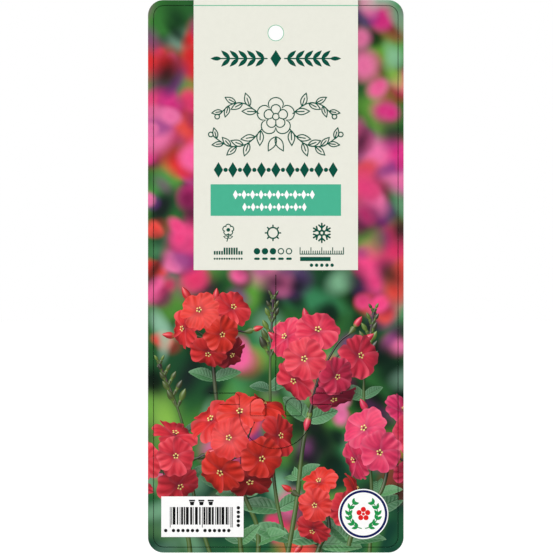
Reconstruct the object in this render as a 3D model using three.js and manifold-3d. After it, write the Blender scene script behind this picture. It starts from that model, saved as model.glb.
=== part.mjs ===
// Hanging plant label: one printed sheet of plastic, die-cut with a hang hole, a centre slit and a tongue.
// Millimetres. The origin is the centre of the hang hole at mid thickness, +Z is up, the printed front
// faces -Y, and +X is to the right seen from the front.

import * as THREE from 'three';
import { mergeVertices } from 'three/addons/utils/BufferGeometryUtils.js';
import Module from 'manifold-3d';

// Sheet
const sheetWidth = 99;
const sheetHeight = 214;
const sheetThickness = 0.5;
const sheetCornerRadius = 6;

// Hang hole, near the top edge
const holeDiameter = 5.8;
const holeBelowTop = 12.8;

// Die cuts, as distances below the top edge and to each side of the centre line
const cutWidth = 0.08;
const slitTop = 106.5;
const slitBottom = 151.1;
const tongueHalfWidth = 14.1;
const tongueArcCentre = 159.6;
const upperCutDepth = 152.2;
const upperCutReach = 25.9;
const upperCutRadius = 1.9;
const lowerCutDepth = 156.6;
const lowerCutReach = 21.6;

// Arched knock-outs in the tongue, each held by nicks
const knockOutOffset = 6.85;
const knockOutWidth = 6.1;
const knockOutTop = 154.1;
const knockOutHeight = 6.9;
const knockOutCornerRadius = 0.7;
const nickWidth = 0.4;

// Divisions of each arc, which gets twice as many straight segments
const arcDivisions = 12;

// How far a cutter reaches past each face of the sheet
const overrun = 1;
const cutterDepth = sheetThickness + 2 * overrun;

const printedPlastic = new THREE.MeshStandardMaterial({
  name: 'printed_plastic',
  color: 0xe9eade,
  roughness: 0.38,
  metalness: 0,
});

const wasm = await Module();
wasm.setup();

// Height above the hang hole's centre of a point given by its depth below the top edge.
function heightOf(depth) {
  return holeBelowTop - depth;
}

// A closed geometry as a solid that can be joined and cut.
function toSolid(geometry) {
  geometry.deleteAttribute('normal');
  geometry.deleteAttribute('uv');
  const merged = mergeVertices(geometry);
  return new wasm.Manifold(
    new wasm.Mesh({
      numProp: 3,
      vertProperties: merged.attributes.position.array,
      triVerts: merged.index.array,
    }),
  );
}

// The solid's faces as a flat-shaded geometry.
function toGeometry(solid) {
  const mesh = solid.getMesh();
  const geometry = new THREE.BufferGeometry();
  geometry.setAttribute('position', new THREE.BufferAttribute(mesh.vertProperties, 3));
  geometry.setIndex(new THREE.BufferAttribute(mesh.triVerts, 1));
  const flat = geometry.toNonIndexed();
  flat.computeVertexNormals();
  return flat;
}

// A plate of the given outline, drawn in X and Z and centred on the sheet's mid plane.
function plate(shape, thickness) {
  const geometry = new THREE.ExtrudeGeometry(shape, {
    depth: thickness,
    bevelEnabled: false,
    curveSegments: arcDivisions,
  });
  geometry.translate(0, 0, -thickness / 2);
  geometry.rotateX(Math.PI / 2);
  return toSolid(geometry);
}

// A rectangle with round corners, given by its sides and its top and bottom heights.
function roundedRectangle(left, right, bottom, top, radius) {
  const shape = new THREE.Shape();
  shape.moveTo(left + radius, bottom);
  shape.lineTo(right - radius, bottom);
  shape.absarc(right - radius, bottom + radius, radius, -Math.PI / 2, 0, false);
  shape.lineTo(right, top - radius);
  shape.absarc(right - radius, top - radius, radius, 0, Math.PI / 2, false);
  shape.lineTo(left + radius, top);
  shape.absarc(left + radius, top - radius, radius, Math.PI / 2, Math.PI, false);
  shape.lineTo(left, bottom + radius);
  shape.absarc(left + radius, bottom + radius, radius, Math.PI, 1.5 * Math.PI, false);
  return shape;
}

// An arch that stands upright: straight sides, a half-round top and small round corners at its foot.
function arch(centre, width, bottom, top, cornerRadius) {
  const half = width / 2;
  const springing = top - half;
  const shape = new THREE.Shape();
  shape.moveTo(centre - half + cornerRadius, bottom);
  shape.lineTo(centre + half - cornerRadius, bottom);
  shape.absarc(
    centre + half - cornerRadius, bottom + cornerRadius, cornerRadius, -Math.PI / 2, 0, false,
  );
  shape.lineTo(centre + half, springing);
  shape.absarc(centre, springing, half, 0, Math.PI, false);
  shape.lineTo(centre - half, bottom + cornerRadius);
  shape.absarc(
    centre - half + cornerRadius, bottom + cornerRadius, cornerRadius, Math.PI, 1.5 * Math.PI, false,
  );
  return shape;
}

// The points of a path, without the doubles where a straight and a round stretch meet.
function pointsOf(path) {
  const apart = 1e-4;
  const points = [];
  for (const point of path.getPoints(arcDivisions)) {
    if (points.length === 0 || points.at(-1).distanceTo(point) > apart) {
      points.push(point);
    }
  }
  return points;
}

// A knife cut along a path of straight and tangent round stretches, right through the sheet.
function cutAlong(path) {
  const points = pointsOf(path);
  const leftSide = [];
  const rightSide = [];
  points.forEach((point, i) => {
    const before = points[Math.max(i - 1, 0)];
    const after = points[Math.min(i + 1, points.length - 1)];
    const along = after.clone().sub(before).normalize();
    const across = new THREE.Vector2(-along.y, along.x).multiplyScalar(cutWidth / 2);
    leftSide.push(point.clone().add(across));
    rightSide.push(point.clone().sub(across));
  });
  const outline = new THREE.Shape([...leftSide, ...rightSide.reverse()]);
  return plate(outline, cutterDepth);
}

// The sheet before it is cut.
function blankSheet() {
  const outline = roundedRectangle(
    -sheetWidth / 2, sheetWidth / 2, heightOf(sheetHeight), heightOf(0), sheetCornerRadius,
  );
  return plate(outline, sheetThickness);
}

// The punched round hole that the label hangs by.
function hangHole() {
  const circle = new THREE.Shape();
  for (let quarter = 0; quarter < 4; quarter += 1) {
    const start = (quarter * Math.PI) / 2;
    circle.absarc(0, 0, holeDiameter / 2, start, start + Math.PI / 2, false);
  }
  return plate(circle, cutterDepth);
}

// The straight slit above the tongue.
function centreSlit() {
  const path = new THREE.Path();
  path.moveTo(0, heightOf(slitTop));
  path.lineTo(0, heightOf(slitBottom));
  return cutAlong(path);
}

// The cut round the tongue: in along the left upper cut, down, round the tip, up and out to the right.
function tongueCut() {
  const upper = heightOf(upperCutDepth);
  const bendHeight = upper - upperCutRadius;
  const bendAside = tongueHalfWidth + upperCutRadius;
  const path = new THREE.Path();
  path.moveTo(-upperCutReach, upper);
  path.lineTo(-bendAside, upper);
  path.absarc(-bendAside, bendHeight, upperCutRadius, Math.PI / 2, 0, true);
  path.lineTo(-tongueHalfWidth, heightOf(tongueArcCentre));
  path.absarc(0, heightOf(tongueArcCentre), tongueHalfWidth, Math.PI, 1.5 * Math.PI, false);
  path.absarc(0, heightOf(tongueArcCentre), tongueHalfWidth, 1.5 * Math.PI, 2 * Math.PI, false);
  path.lineTo(tongueHalfWidth, bendHeight);
  path.absarc(bendAside, bendHeight, upperCutRadius, Math.PI, Math.PI / 2, true);
  path.lineTo(upperCutReach, upper);
  return cutAlong(path);
}

// A lower side cut, from the tongue's flank outwards. side is -1 on the left and 1 on the right.
function lowerSideCut(side) {
  const path = new THREE.Path();
  path.moveTo(side * tongueHalfWidth, heightOf(lowerCutDepth));
  path.lineTo(side * lowerCutReach, heightOf(lowerCutDepth));
  return cutAlong(path);
}

// The cut round an arched knock-out, broken by a nick at its foot and one on each flank.
function knockOutCut(side) {
  const centre = side * knockOutOffset;
  const top = heightOf(knockOutTop);
  const bottom = top - knockOutHeight;
  const grown = cutWidth / 2;
  const outer = arch(
    centre, knockOutWidth + cutWidth, bottom - grown, top + grown, knockOutCornerRadius + grown,
  );
  const inner = arch(
    centre, knockOutWidth - cutWidth, bottom + grown, top - grown, knockOutCornerRadius - grown,
  );
  const flankNicks = new THREE.BoxGeometry(2 * knockOutWidth, 2 * cutterDepth, nickWidth);
  flankNicks.translate(centre, 0, (top + bottom) / 2);
  const footNick = new THREE.BoxGeometry(nickWidth, 2 * cutterDepth, nickWidth);
  footNick.translate(centre, 0, bottom);
  return plate(outer, cutterDepth)
    .subtract(plate(inner, cutterDepth))
    .subtract(toSolid(flankNicks))
    .subtract(toSolid(footNick));
}

// The whole sheet with its hole and every cut.
function labelSheet() {
  const cuts = [
    hangHole(),
    centreSlit(),
    tongueCut(),
    lowerSideCut(-1),
    lowerSideCut(1),
    knockOutCut(-1),
    knockOutCut(1),
  ];
  const solid = cuts.reduce((sheet, cut) => sheet.subtract(cut), blankSheet());
  const mesh = new THREE.Mesh(toGeometry(solid), printedPlastic);
  mesh.name = 'label_sheet';
  return mesh;
}

const plantLabel = new THREE.Group();
plantLabel.add(labelSheet());

export default plantLabel;
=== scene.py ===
import bmesh
import bpy
import numpy as np
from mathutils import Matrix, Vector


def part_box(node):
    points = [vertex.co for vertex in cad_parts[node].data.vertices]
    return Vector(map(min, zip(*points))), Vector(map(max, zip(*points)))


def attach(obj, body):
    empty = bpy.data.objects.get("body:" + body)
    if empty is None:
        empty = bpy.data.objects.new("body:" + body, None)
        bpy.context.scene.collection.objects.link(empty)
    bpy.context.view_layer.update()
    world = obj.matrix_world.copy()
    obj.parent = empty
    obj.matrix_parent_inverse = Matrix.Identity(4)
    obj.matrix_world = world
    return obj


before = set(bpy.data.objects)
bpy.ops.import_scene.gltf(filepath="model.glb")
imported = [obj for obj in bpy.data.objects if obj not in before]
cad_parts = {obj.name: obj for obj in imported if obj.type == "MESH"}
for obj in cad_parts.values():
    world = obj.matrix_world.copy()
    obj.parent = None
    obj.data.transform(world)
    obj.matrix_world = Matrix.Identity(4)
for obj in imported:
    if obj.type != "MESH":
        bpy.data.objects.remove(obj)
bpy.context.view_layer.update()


# The sheet is half a millimetre of white polypropylene, calendered, printed flat and then die-cut to its
# round-cornered outline with the hang hole and the tongue. Its back and edges stay bare plastic, with the
# fine matt grain that the rolls leave.

MM = 0.001
(_, PRINT_FACE, SHEET_BOTTOM), (SHEET_RIGHT, _, SHEET_TOP) = np.array(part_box("label_sheet")) / MM
MOTTLE_SCALE, GRAIN_SCALE, GRAIN_HEIGHT = 420.0, 2600.0, 0.0002
GLOSS, SHEEN_SPREAD = 0.08, 0.35


def ink(red, green, blue):
    """A colour given on the usual 0 to 255 display scale, as the linear reflectance that a shader takes."""
    share = np.array([red, green, blue]) / 255
    return np.where(share <= 0.04045, share / 12.92, ((share + 0.055) / 1.055) ** 2.4)


def wire(tree, node, **values):
    """Sets up a shader node and returns its outputs. Each value goes to the input socket of its name, where
    another node's output is linked, or else to the node's own setting."""
    for name, value in values.items():
        socket = node.inputs.get(name.replace("_", " "))
        if socket is None:
            setattr(node, name, value)
        elif isinstance(value, bpy.types.NodeSocket):
            tree.links.new(value, socket)
        else:
            socket.default_value = value
    return node.outputs


def add_node(tree, kind, **values):
    """The outputs of a new shader node of a kind, set up with the values."""
    return wire(tree, tree.nodes.new(kind), **values)


def new_material(name):
    """A new material, its node tree and its surface shader."""
    material = bpy.data.materials.new(name)
    material.use_nodes = True
    return material, material.node_tree, material.node_tree.nodes["Principled BSDF"]


def plastic(name, colour, mottle=0.03, bump=0.04, roughness=0.42):
    """Printed or bare plastic: its colour is one ink, or the name of a mesh attribute that holds it, broken
    up by a faint mottle, and its sheen and surface vary with a fine grain."""
    material, tree, shader = new_material(name)
    place = add_node(tree, "ShaderNodeTexCoord")["Object"]
    cloud = add_node(tree, "ShaderNodeTexNoise", Vector=place, Scale=MOTTLE_SCALE, Detail=4.0, Roughness=0.6)
    tone = add_node(tree, "ShaderNodeMapRange", Value=cloud["Fac"], From_Min=0.3, From_Max=0.7,
                    To_Min=1 - mottle, To_Max=1.0)
    if isinstance(colour, str):
        colour = add_node(tree, "ShaderNodeAttribute", attribute_name=colour)["Color"]
    mixed = add_node(tree, "ShaderNodeVectorMath", operation="SCALE", Vector=colour, Scale=tone["Result"])
    fine = add_node(tree, "ShaderNodeTexNoise", Vector=place, Scale=GRAIN_SCALE, Detail=3.0, Roughness=0.6)
    sheen = add_node(tree, "ShaderNodeMapRange", Value=fine["Fac"], To_Min=roughness * (1 - SHEEN_SPREAD),
                     To_Max=roughness * (1 + SHEEN_SPREAD))
    relief = add_node(tree, "ShaderNodeBump", Height=fine["Fac"], Strength=bump, Distance=GRAIN_HEIGHT)
    wire(tree, shader, Base_Color=mixed["Vector"], Roughness=sheen["Result"], Normal=relief["Normal"],
         Specular_IOR_Level=GLOSS)
    return material


sheet = bpy.data.objects["label_sheet"]
sheet_plastic = plastic("white_sheet_plastic", ink(240, 241, 237), mottle=0.04, bump=0.12, roughness=0.5)
for slot in sheet.material_slots:
    slot.material = sheet_plastic


# The picture is one colour print that covers the front around the card. Its far ground is a garden thrown
# out of focus: soft leaf greens with drifts of pink and red bloom and plum-dark shade between them.

GROUND_STEP, GROUND_THICKNESS = 0.62, 0.012
LEAF_GREENS = [(56, 122, 52), (22, 64, 40), (104, 170, 60), (142, 192, 84), (58, 136, 90), (112, 176, 140)]
BLOOM_REDS = [(222, 38, 42), (234, 70, 62), (230, 52, 104), (238, 66, 128), (240, 92, 152), (216, 44, 126),
              (238, 112, 166)]
BLOOM_SHADES = [(118, 26, 80), (150, 26, 40), (100, 40, 124)]
DEEP_SHADES = [(4, 18, 12), (22, 12, 32), (8, 34, 24)]
PALE_LEAVES = [(134, 190, 150), (150, 196, 170), (146, 200, 78), (104, 172, 62)]
PLUM_SHADES = [(112, 50, 112), (92, 46, 104), (136, 60, 128)]
FOOT_GREEN, FOOT_TOP, FOOT_BOTTOM, FOOT_COVER = (14, 74, 58), -158.0, -196.0, 0.62

# Soft spots in the order they are laid: their inks, number, least and greatest radii, softness, and least
# and greatest cover. The far blooms lie between the two lists.
SPOTS_UNDER = [
    (LEAF_GREENS, 60, (4.0, 7.0), (10.0, 17.0), 0.7, (0.4, 0.85)),
    (DEEP_SHADES, 80, (2.5, 2.5), (7.0, 7.0), 0.7, (0.85, 0.95)),
    (PALE_LEAVES, 44, (2.0, 3.2), (5.0, 9.0), 0.8, (0.4, 0.9)),
]
SPOTS_OVER = [
    (PLUM_SHADES, 24, (1.8, 2.4), (4.0, 6.0), 0.9, (0.5, 0.85)),
    (DEEP_SHADES, 56, (1.8, 2.6), (4.4, 6.6), 1.0, (0.68, 0.92)),
    (PALE_LEAVES, 26, (1.6, 2.6), (3.6, 7.0), 0.8, (0.35, 0.75)),
]

# The far blooms. The offset and radii of the dusk and the scatter and radii of the lobes are shares of the
# bloom's size.
FAR_BLOOMS, FAR_BLOOM_SIZE, BESIDE_CARD = 78, (3.2, 8.4), 0.75
DUSK_OFFSET, DUSK_RADII, DUSK_SOFTNESS, DUSK_COVER = (0.4, -0.6), (1, 0.9), 0.5, 0.6
LOBE_COUNTS, LOBE_SCATTER, LOBE_RADII = (2, 4), 0.5, (0.5, 0.9)
LOBE_SOFTNESS, LOBE_COVER, LOBE_PALING = (0.45, 0.95), (0.8, 1), 0.06
SPOT_TONES, LOBE_TONES = (0.88, 1.08), (0.92, 1.05)

# Where spots may lie, as the least and greatest places across and up the sheet.
SPOT_FIELD = (-52, -205), (52, 15)
LOW_FIELD = (-50, -205), (50, -88)
SIDE_FIELD = (28, -100), (50, 15)
BROAD_WAVES, FINE_WAVES, FRESH_COVER = 46, 30, 0.8


def smooth(low, high, value):
    """0 below low, 1 above high, and an even S-curve between, which is three squares less two cubes."""
    share = np.clip((value - low) / (high - low), 0, 1)
    return share * share * (3 - 2 * share)


def waves(x, z, size, draw, count=7):
    """A soft random field from about -1 to 1: the mean of plane waves of like length, each in a random
    direction."""
    total = np.zeros_like(x)
    for _ in range(count):
        turn = draw.uniform(0, 2 * np.pi)
        rate = 2 * np.pi / (size * draw.uniform(0.7, 1.6))
        total += np.sin(rate * (x * np.cos(turn) + z * np.sin(turn)) + draw.uniform(0, 2 * np.pi))
    return 1.6 * total / count


def blend(under, over, cover):
    """One colour laid over another, by a cover from 0 to 1 at each point."""
    cover = np.asarray(cover)[..., None]
    return under * (1 - cover) + over * cover


def blot(under, x, z, middle, radii, turn, softness, colours, cover):
    """An out-of-focus spot: an ellipse with an edge as wide as softness, whose colour runs from the first of
    colours in the middle to the second at the rim."""
    across, along = x - middle[0], z - middle[1]
    first = (across * np.cos(turn) + along * np.sin(turn)) / radii[0]
    second = (along * np.cos(turn) - across * np.sin(turn)) / radii[1]
    reach = np.hypot(first, second)
    shape = cover * (1 - smooth(1 - softness, 1 + softness, reach))
    core, rim = (ink(*colour) for colour in colours)
    return blend(under, core + (rim - core) * smooth(0, 1, reach)[..., None], shape)


def soft_spots(colour, x, z, draw, inks, count, least, most, softness, covers):
    """Soft spots anywhere on the sheet, each of one ink made a little darker or lighter."""
    for _ in range(count):
        tone = np.array(inks[draw.integers(len(inks))]) * draw.uniform(*SPOT_TONES)
        middle = draw.uniform(*SPOT_FIELD)
        radii, turn = draw.uniform(least, most), draw.uniform(0, np.pi)
        colour = blot(colour, x, z, middle, radii, turn, softness, (tone, tone), draw.uniform(*covers))
    return colour


def far_blooms(colour, x, z, draw):
    """Blooms out of focus, most of them beside the card: each a dusky spot, low on its right, under two or
    three round lobes that pale a little to the rim."""
    for _ in range(FAR_BLOOMS):
        middle = draw.uniform(*LOW_FIELD)
        if draw.uniform() < BESIDE_CARD:
            middle = draw.uniform(*SIDE_FIELD) * (draw.choice([-1, 1]), 1)
        size = draw.uniform(*FAR_BLOOM_SIZE)
        bloom, dusk = (np.array(inks[draw.integers(len(inks))]) for inks in (BLOOM_REDS, BLOOM_SHADES))
        low, radii = middle + np.multiply(DUSK_OFFSET, size), np.multiply(DUSK_RADII, size)
        colour = blot(colour, x, z, low, radii, 0, DUSK_SOFTNESS, (dusk, dusk), DUSK_COVER)
        for _ in range(draw.integers(*LOBE_COUNTS)):
            lobe = middle + draw.normal(0, LOBE_SCATTER, 2) * size
            tone = bloom * draw.uniform(*LOBE_TONES)
            radii, turn = draw.uniform(*LOBE_RADII, 2) * size, draw.uniform(0, np.pi)
            tones, soft = (tone, tone + LOBE_PALING * (255 - tone)), draw.uniform(*LOBE_SOFTNESS)
            colour = blot(colour, x, z, lobe, radii, turn, soft, tones, draw.uniform(*LOBE_COVER))
    return colour


def garden(x, z):
    """The far ground's colour at each point: three greens mixed by waves, with spots of leaf and deep shade
    and a bluish foot, then far blooms, then plum and dark gaps and pale leaf tips."""
    draw = np.random.default_rng(seed=41)
    middling, dark, fresh = (ink(*green) for green in LEAF_GREENS[:3])
    colour = blend(dark, middling, np.clip(0.5 + 0.5 * waves(x, z, BROAD_WAVES, draw), 0, 1))
    colour = blend(colour, fresh, FRESH_COVER * smooth(0.1, 0.9, waves(x, z, FINE_WAVES, draw)))
    for spots in SPOTS_UNDER:
        colour = soft_spots(colour, x, z, draw, *spots)
    colour = blend(colour, ink(*FOOT_GREEN), FOOT_COVER * smooth(FOOT_TOP, FOOT_BOTTOM, z))
    colour = far_blooms(colour, x, z, draw)
    for spots in SPOTS_OVER:
        colour = soft_spots(colour, x, z, draw, *spots)
    return np.clip(colour, 0, 1)


def placed(name, data):
    """A new object in the scene."""
    thing = bpy.data.objects.new(name, data)
    bpy.context.scene.collection.objects.link(thing)
    return thing


def built(name, parts, material, slot=None, cuts=()):
    """One finished piece from closed parts, each its points in millimetres, its faces and its colours or
    None. The faces are turned outwards, and what lies past a plane of cuts, a place and its outward way, is
    cut off flush. The piece rides on the sheet. The slot argument is not used."""
    points, faces, colours = zip(*parts)
    firsts = np.cumsum([0, *map(len, points)]).tolist()
    faces = [[first + corner for corner in face] for first, part in zip(firsts, faces) for face in part]
    mesh = bpy.data.meshes.new(name)
    mesh.from_pydata(np.concatenate(points) * MM, [], faces)
    if colours[0] is not None:
        shown = np.concatenate(colours)
        layer = mesh.color_attributes.new("ink", "FLOAT_COLOR", "POINT")
        layer.data.foreach_set("color", np.hstack([shown, np.ones((len(shown), 1))]).ravel())
    work = bmesh.new()
    work.from_mesh(mesh)
    bmesh.ops.recalc_face_normals(work, faces=work.faces)
    for place, way in cuts:
        every = work.verts[:] + work.edges[:] + work.faces[:]
        bmesh.ops.bisect_plane(work, geom=every, plane_co=place, plane_no=way, clear_outer=True)
        bmesh.ops.holes_fill(work, edges=[edge for edge in work.edges if edge.is_boundary], sides=0)
    work.to_mesh(mesh)
    work.free()
    mesh.materials.append(material)
    piece, slot = placed(name, mesh), slot or material.name
    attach(piece, "root")


def quads(rows, columns, around=False):
    """The faces of a grid of points stored row by row; around also joins the last column to the first."""
    index = np.arange(rows * columns).reshape(rows, columns)
    if around:
        index = np.hstack([index, index[:, :1]])
    corners = [index[:-1, :-1], index[:-1, 1:], index[1:, 1:], index[1:, :-1]]
    return np.stack(corners, axis=-1).reshape(-1, 4)


def slab(points, faces, colours, thickness):
    """A flat open mesh given a thickness: the same points and faces again behind it, turned round, and a
    wall along each edge that only one face has."""
    edges = np.stack([faces, np.roll(faces, -1, axis=1)], axis=-1).reshape(-1, 2)
    key = np.sort(edges, axis=1) @ (len(points), 1)
    _, where, times = np.unique(key, return_index=True, return_counts=True)
    start, end = edges[where[times == 1]].T
    walls = np.column_stack([end, start, start + len(points), end + len(points)])
    every = np.concatenate([faces, faces[:, ::-1] + len(points), walls])
    used, every = np.unique(every, return_inverse=True)
    both = np.concatenate([points, points + (0, thickness, 0)])[used]
    return both, every.reshape(-1, 4).tolist(), np.concatenate([colours, colours])[used]


CARD_HALF, CARD_DEPTH, CARD_LAP = 31.8, 104.6, 2.0
CORNER_RADIUS, EDGE_SETBACK = 6.0, 0.03

picture_ink = plastic("picture_print", "ink", mottle=0.05)


def ground_slab():
    """The ground as a grid over the sheet. Points past a round corner are drawn in onto its arc, and cells
    outside the outline or well under the card are left out."""
    half = SHEET_RIGHT - EDGE_SETBACK
    top, bottom = SHEET_TOP - EDGE_SETBACK, SHEET_BOTTOM + EDGE_SETBACK
    middle = (top + bottom) / 2
    columns, rows = int(2 * half / GROUND_STEP), int((top - bottom) / GROUND_STEP)
    x, z = np.meshgrid(np.linspace(-half, half, columns), np.linspace(top, bottom, rows))
    radius = CORNER_RADIUS - EDGE_SETBACK
    off_x = np.abs(x) - (half - radius)
    off_z = np.abs(z - middle) - ((top - bottom) / 2 - radius)
    reach = np.hypot(np.maximum(off_x, 0), np.maximum(off_z, 0))
    outside = (off_x > 0) & (off_z > 0) & (reach > radius)
    pull = np.where(outside, 1 - radius / np.maximum(reach, radius), 0)
    x = x - np.sign(x) * off_x * pull
    z = z - np.sign(z - middle) * off_z * pull
    covered = (np.abs(x) < CARD_HALF - CARD_LAP) & (z > SHEET_TOP - CARD_DEPTH + CARD_LAP)
    faces = quads(rows, columns)
    left_out = (outside | covered).ravel()[faces].all(axis=1)
    points = np.dstack([x, np.full_like(x, PRINT_FACE - GROUND_THICKNESS), z]).reshape(-1, 3)
    return slab(points, faces[~left_out], garden(x, z).reshape(-1, 3), GROUND_THICKNESS)


built("picture_ground", [ground_slab()], picture_ink)


# In front of the ground stand sharp garden flowers: loose round heads of five-petalled blooms on plum-green
# stems. Each is modelled full depth in millimetres, lit from the upper left, and then pressed into the
# print's thin relief, so that near petals lie over far ones.

RELIEF_FOOT, PRESS = 0.016, 0.004
BLOOM_DEPTH, BLOOM_SPACING = 0.15, 2.6
SKY_LIGHT, SUN_LIGHT, THROUGH_LIGHT = 0.34, 0.78, 0.08

# The shade that a bloom casts. Its soft disc's two edges are shares of the bloom's size.
CAST_SHADE, CAST_SLANT, CAST_REACH, CAST_DISC, CAST_GAP = 0.6, 0.6, 8, (0.55, 1.25), (1.5, 6.0)

# How blooms stand on a head's dome, and how far that scatters. Random turns and phases lie within PHASES.
GOLDEN_ANGLE, TURN_TO_VIEWER, BLOOM_DOME, BUD_DOME, PHASES = 137.5, 0.4, 0.9, 1.0, (0, 6)
TURN_SCATTER, FACING_SCATTER, HUE_SCATTER = 0.12, 0.12, 0.16
DOME_REACH, SIZE_SPREAD = (0.88, 1.12), (0.88, 1.08)

# Each head: its middle across and up the sheet, its radius, its number of open blooms and of buds, the size
# of a bloom, its hue from 0, coral red, to 1, hot pink, and how far across its stem stands at the foot.
HEADS = [
    ((-25.0, -115.0), 12.0, 6, 4, 7.6, 0.2, -13.0),
    ((17.0, -127.0), 15.0, 7, 5, 8.6, 0.5, 4.0),
    ((-13.0, -158.0), 16.0, 8, 4, 9.2, 0.0, -7.0),
    ((44.0, -158.0), 14.0, 6, 3, 8.8, 0.65, 27.0),
    ((-43.0, -166.0), 12.0, 5, 3, 8.6, 0.3, -33.0),
    ((20.0, -182.0), 11.0, 5, 4, 7.8, 0.15, 15.0),
]
HEAD_DEPTH = -4.0


def unit(vector):
    """Vectors of any array, each divided by its own length."""
    vector = np.asarray(vector, float)
    return vector / np.maximum(np.linalg.norm(vector, axis=-1, keepdims=True), 1e-9)


LIGHT, TO_VIEWER = unit([-0.46, -0.72, 0.52]), unit([0, -1, 0])


def pressed(points, depth=None):
    """Modelled points as points of the relief: depth towards the viewer shrinks to less than half a percent.
    Another depth can be given in place of the points' own."""
    flat = np.array(points, float)
    flat[..., 1] = PRINT_FACE - RELIEF_FOOT + PRESS * (flat[..., 1] if depth is None else depth)
    return flat


def slopes(points):
    """Unit normals, turned to the viewer, of a round grid: the cross product of its steps both ways."""
    across = np.roll(points, -1, axis=1) - np.roll(points, 1, axis=1)
    normal = unit(np.cross(np.gradient(points, axis=0), across))
    return normal * np.where(normal[..., 1:2] > 0, -1, 1)


def sunlit(colour, normal, cast, gloss=0.12, sharp=14, glint=1):
    """A colour in the sun: an even share and one by the cosine to the light, both less the cast shade, and
    a narrow gleam where the normal lies midway between the light and the viewer."""
    cosine = normal @ LIGHT
    share = SKY_LIGHT + SUN_LIGHT * np.clip(cosine, 0, 1) + THROUGH_LIGHT * np.clip(-cosine, 0, 1)
    gleam = gloss * np.clip(normal @ unit(LIGHT + TO_VIEWER), 0, 1) ** sharp
    return np.clip(colour * (share * cast)[..., None] + gleam[..., None] * glint, 0, 1)


def dome(count, start, spread, draw):
    """Directions spaced by the golden angle over a dome that bulges towards the viewer."""
    place = np.arange(count) + 0.5
    lean = np.arccos(1 - place / count * spread)
    turn = start + place * np.radians(GOLDEN_ANGLE) + draw.normal(0, TURN_SCATTER, count)
    return np.column_stack([np.sin(lean) * np.cos(turn), -np.cos(lean), np.sin(lean) * np.sin(turn)])


def head_blooms():
    """Every open bloom as its middle, facing, size, hue, head's hub and layer. They stand on their head's
    dome and face outwards, turned a little to the viewer. The layer is the depth that a bloom is pressed at,
    which keeps clear of the bloom behind it on the same head."""
    draw = np.random.default_rng(seed=5)
    blooms = []
    for (x, z), radius, count, _, size, hue, _ in HEADS:
        hub = np.array([x, HEAD_DEPTH, z])
        head = []
        for way in dome(count, draw.uniform(*PHASES), BLOOM_DOME, draw):
            middle = hub + way * radius * draw.uniform(*DOME_REACH)
            facing = unit(way + TURN_TO_VIEWER * TO_VIEWER + draw.normal(0, FACING_SCATTER, 3))
            tone = np.clip(hue + draw.normal(0, HUE_SCATTER), 0, 1)
            head.append((middle, facing, size * draw.uniform(*SIZE_SPREAD), tone, hub))
        layer = HEAD_DEPTH
        for bloom in sorted(head, key=lambda bloom: -bloom[0][1]):
            layer = min(layer - BLOOM_SPACING, bloom[0][1])
            blooms.append((*bloom, layer))
    return sorted(blooms, key=lambda bloom: -bloom[0][1])


BLOOMS = head_blooms()


def shade(points):
    """The shade that open blooms cast on what lies behind them: each darkens a soft disc, moved away from
    the light by its height over the point."""
    total = np.ones(points.shape[:-1])
    for middle, _, size, *_ in BLOOMS:
        gap = points[..., 1] - middle[1]
        shift = np.clip(gap, 0, CAST_REACH)[..., None] * LIGHT[[0, 2]] / LIGHT[1] * CAST_SLANT
        apart = np.linalg.norm(points[..., [0, 2]] - middle[[0, 2]] - shift, axis=-1)
        cover = 1 - smooth(*np.multiply(CAST_DISC, size), apart)
        total *= 1 - CAST_SHADE * cover * smooth(*CAST_GAP, gap)
    return total


def tube(points):
    """A closed part's points and faces from a grid whose rows are rings: one face closes each end."""
    rows, columns = points.shape[:2]
    ends = [list(range(columns)), list(range((rows - 1) * columns, rows * columns))]
    return points.reshape(-1, 3), quads(rows, columns, around=True).tolist() + ends


def dropped(points):
    """Points moved straight back into the ground's print."""
    return points * (1, 0, 1) + (0, PRINT_FACE - GROUND_THICKNESS / 2, 0)


def block(points, colours):
    """A closed block under a round grid of rows from its middle to its rim: the rim drops straight to the
    ground."""
    faces = tube(np.concatenate([points, dropped(points[-1:])]))
    return *faces, np.concatenate([colours, colours[-1:]]).reshape(-1, 3)


def full_turn(count):
    """Angles once round, in even steps."""
    return np.linspace(0, 2 * np.pi, count, endpoint=False)


def frame_of(facing, turn, upright=(0.13, 0.21, 0.97)):
    """Two unit vectors across a direction, turned about it by an angle. The first is its cross product with
    a line near the upright."""
    aside = unit(np.cross(facing, upright))
    upward = np.cross(facing, aside)
    return aside * np.cos(turn) + upward * np.sin(turn), upward * np.cos(turn) - aside * np.sin(turn)


PETALS, PETAL_SCATTER, PETAL_ROWS, PETAL_COLUMNS = 5, 0.05, 16, 56
PETAL_LENGTH, PETAL_WIDTH, PETAL_WAIST = (0.94, 1.06), (1.02, 1.16), 0.56
PETAL_RISE, PETAL_ROLL, PETAL_TILT, PETAL_HOLLOW, PETAL_FOLD = (0.3, 0.42), (0.3, 0.5), 0.05, 0.07, 0.035
PLAIN_RISE, PLAIN_ROLL, PLAIN_TILT = 0.36, 0.4, 0.12
NOTCH_DEPTH, NOTCH_WIDTH, RIM_WAVES = (0.05, 0.13), 0.2, [(5, 0.012), (9, 0.01)]
RUFFLES, RUFFLE_HEIGHT = 14, 0.016
VEINS, VEIN_SHADE, VEIN_FAN, SIDE_SHADE, RIM_GLOW = 34, 0.1, 0.3, 0.3, 0.32

# The dark throat and the anthers round it are beads, whose size and reach are shares of the bloom's.
BEAD_ROWS, BEAD_COLUMNS = 5, 14
THROAT_HEIGHT, THROAT_SIZE, ANTHER_HEIGHT, ANTHER_SIZE, ANTHER_REACH = 0.9, 0.1, 1.9, 0.045, 0.11
THROAT, POLLEN, PETAL_GLINT = ink(120, 10, 26), ink(250, 222, 130), ink(255, 190, 190)

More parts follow.
